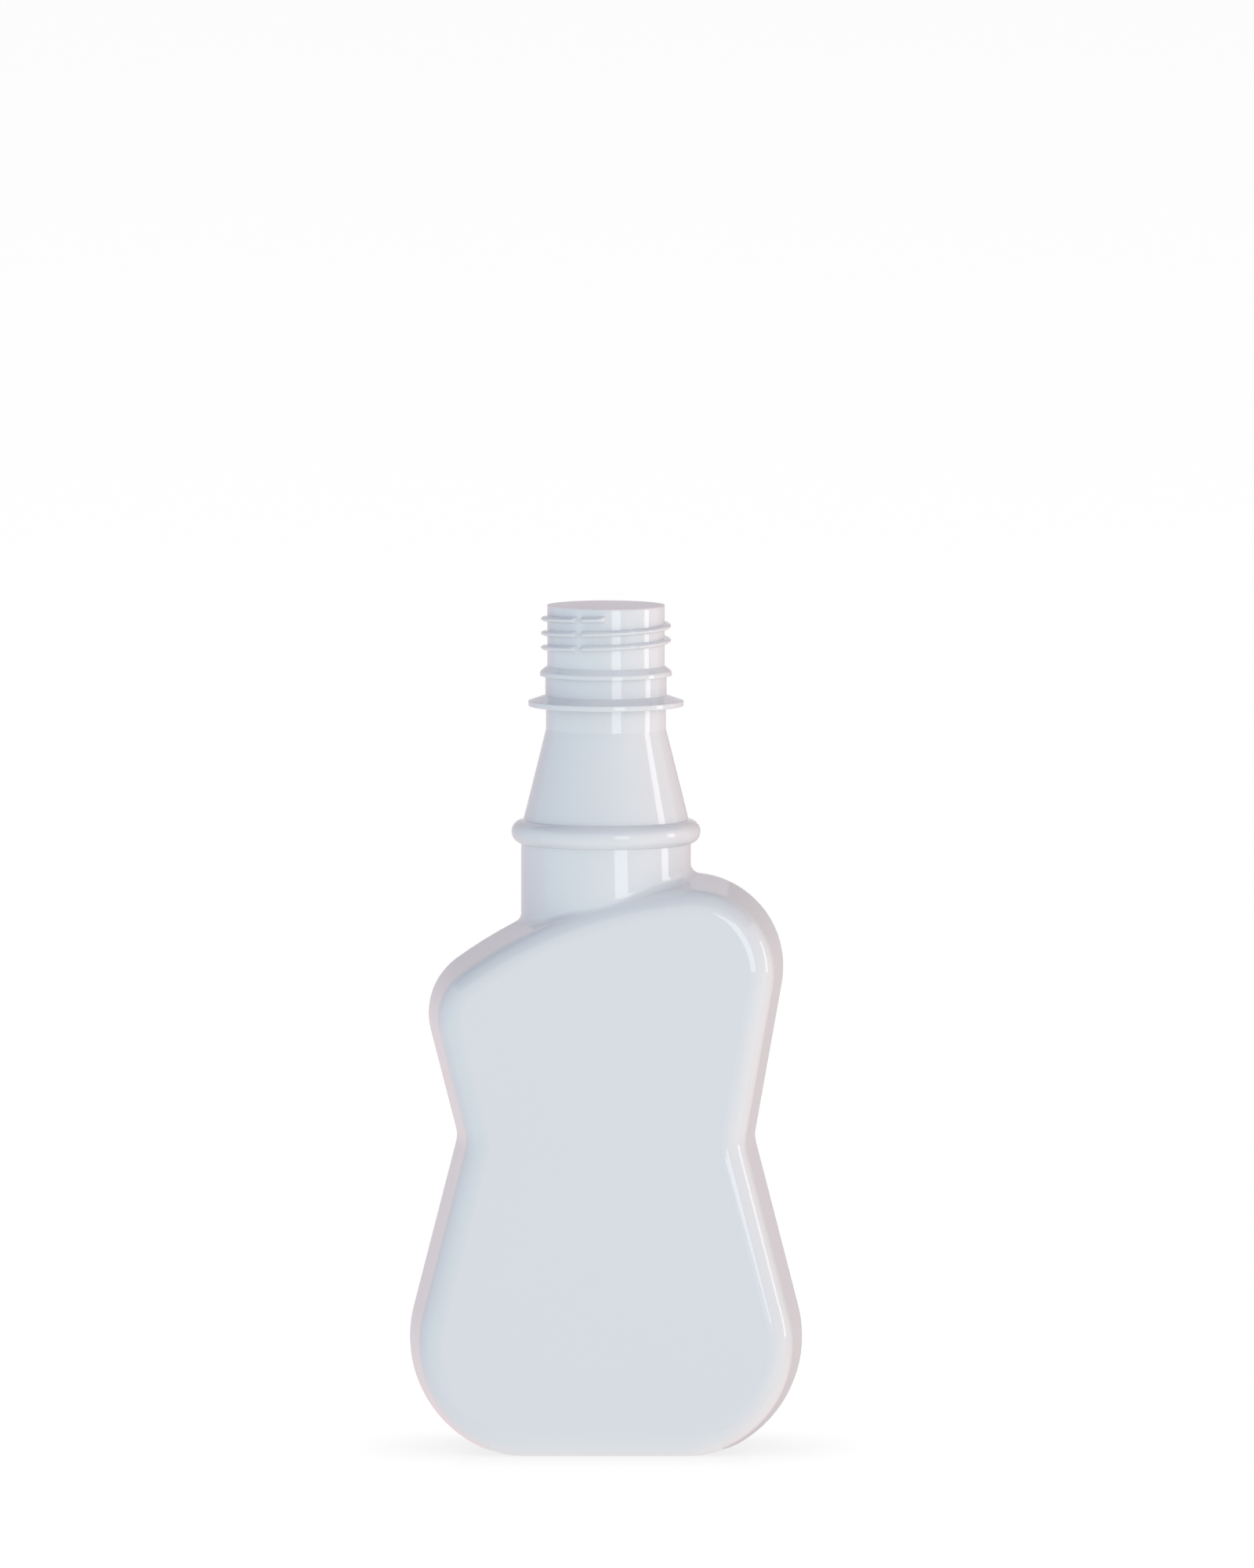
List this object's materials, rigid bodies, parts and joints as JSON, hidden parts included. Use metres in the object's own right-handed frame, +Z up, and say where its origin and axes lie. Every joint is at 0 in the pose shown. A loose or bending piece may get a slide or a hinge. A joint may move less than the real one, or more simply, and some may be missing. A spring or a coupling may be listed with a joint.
{
  "type": "mouthwash bottle",
  "caption": "Flat, waisted mouthwash bottle with uneven rounded shoulders, a round stepped neck for a screw cap and a lift-off membrane sealing the mouth.",
  "frame": {"origin": "on the neck's axis, at the level that the bottle stands on", "axes": "+Z up along the neck, +Y from the front face to the back face, +X towards the higher shoulder"},
  "size_m": [0.0832, 0.041, 0.1794],
  "materials": {
    "bottle_plastic": "glossy white moulded plastic",
    "seal_film": "satin white film-coated membrane"
  },
  "bodies": {
    "bottle": {"bottle": "bottle_plastic"},
    "seal": {"mouth_seal": "seal_film"}
  },
  "joints": [
    {"name": "seal_lift", "type": "slide", "parent": "bottle", "child": "seal", "axis": [0, 0, 1], "range_m": [0, 0.05]}
  ]
}
